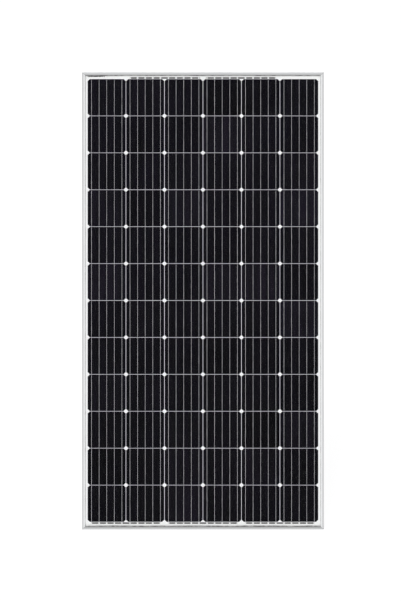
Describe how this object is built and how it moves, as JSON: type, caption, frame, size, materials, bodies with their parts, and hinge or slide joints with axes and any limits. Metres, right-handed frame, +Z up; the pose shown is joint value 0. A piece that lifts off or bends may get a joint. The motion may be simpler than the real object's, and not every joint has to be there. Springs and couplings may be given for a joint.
{
  "type": "solar panel",
  "caption": "Framed crystalline solar panel with glass front, pseudo-square cells, and a hinged-lid junction box on the rear.",
  "frame": {"origin": "centre of the rear mounting plane, on the rear faces of the frame flanges", "axes": "+Z up along the long side, +X to the right seen from the front, glass faces -Y, mounting plane faces +Y"},
  "size_m": [0.992, 0.04, 1.956],
  "materials": {
    "anodised_aluminium": "clear anodised, fine extrusion lines",
    "mill_aluminium": "mill finish extrusion",
    "silicone_sealant": "cured white silicone, satin",
    "solar_glass": "low-iron, anti-reflective, lightly textured",
    "encapsulant": "clear cured film",
    "silicon_cell": "textured monocrystalline, near-black blue",
    "tinned_ribbon": "tin-coated copper strip",
    "bus_ribbon": "tin-coated copper strip, duller",
    "white_film": "white insulating film",
    "backsheet": "white film, slight orange-peel",
    "label_paper": "printed label, no wording",
    "box_plastic": "black moulded, fine spark texture",
    "lid_plastic": "black moulded, fine spark texture",
    "gasket_foam": "closed-cell foam",
    "pin_steel": "drawn stainless pin",
    "tinned_plate": "tinned copper stamping",
    "diode_body": "moulded epoxy",
    "gland_plastic": "black moulded nut",
    "seal_rubber": "soft black seal"
  },
  "bodies": {
    "panel": {"backsheet": "backsheet", "bus_ribbon_bottom_1_2": "bus_ribbon", "bus_ribbon_bottom_3_4": "bus_ribbon", "bus_ribbon_bottom_5_6": "bus_ribbon", "bus_ribbon_top_2_3": "bus_ribbon", "bus_ribbon_top_4_5": "bus_ribbon", "bypass_diode_1": "diode_body", "bypass_diode_2": "diode_body", "bypass_diode_3": "diode_body", "cell_string_1": "silicon_cell", "cell_string_2": "silicon_cell", "cell_string_3": "silicon_cell", "cell_string_4": "silicon_cell", "cell_string_5": "silicon_cell", "cell_string_6": "silicon_cell", "corner_key_bottom_left": "mill_aluminium", "corner_key_bottom_right": "mill_aluminium", "corner_key_top_left": "mill_aluminium", "corner_key_top_right": "mill_aluminium", "edge_sealant_bottom": "silicone_sealant", "edge_sealant_left": "silicone_sealant", "edge_sealant_right": "silicone_sealant", "edge_sealant_top": "silicone_sealant", "frame_rail_bottom": "anodised_aluminium", "frame_rail_left": "anodised_aluminium", "frame_rail_right": "anodised_aluminium", "frame_rail_top": "anodised_aluminium", "front_encapsulant": "encapsulant", "front_glass": "solar_glass", "gland_seal_left": "seal_rubber", "gland_seal_right": "seal_rubber", "insulation_patch": "white_film", "insulation_strip": "white_film", "jbox_adhesive": "silicone_sealant", "jbox_base": "box_plastic", "jbox_hinge_pins": "pin_steel", "lead_out_string_1": "bus_ribbon", "lead_out_string_6": "bus_ribbon", "rating_label": "label_paper", "rear_encapsulant": "encapsulant", "serial_label": "label_paper", "tabbing_ribbons_1": "tinned_ribbon", "tabbing_ribbons_2": "tinned_ribbon", "tabbing_ribbons_3": "tinned_ribbon", "tabbing_ribbons_4": "tinned_ribbon", "tabbing_ribbons_5": "tinned_ribbon", "tabbing_ribbons_6": "tinned_ribbon", "terminal_1": "tinned_plate", "terminal_2": "tinned_plate", "terminal_3": "tinned_plate", "terminal_4": "tinned_plate"},
    "junction_box_lid": {"jbox_lid": "lid_plastic", "jbox_lid_gasket": "gasket_foam"},
    "gland_nut_left_body": {"gland_nut_left": "gland_plastic"},
    "gland_nut_right_body": {"gland_nut_right": "gland_plastic"}
  },
  "joints": [
    {"name": "junction_box_lid_hinge", "type": "hinge", "parent": "panel", "child": "junction_box_lid", "pos_m": [0, -0.0104, 0.9205], "axis": [1, 0, 0], "range_deg": [0, 110]},
    {"name": "gland_nut_left_turn", "type": "hinge", "parent": "panel", "child": "gland_nut_left_body", "pos_m": [-0.044, -0.0225, 0.7991], "axis": [0, 0, -1], "range_deg": [0, 360]},
    {"name": "gland_nut_right_turn", "type": "hinge", "parent": "panel", "child": "gland_nut_right_body", "pos_m": [0.044, -0.0225, 0.7991], "axis": [0, 0, -1], "range_deg": [0, 360]}
  ]
}
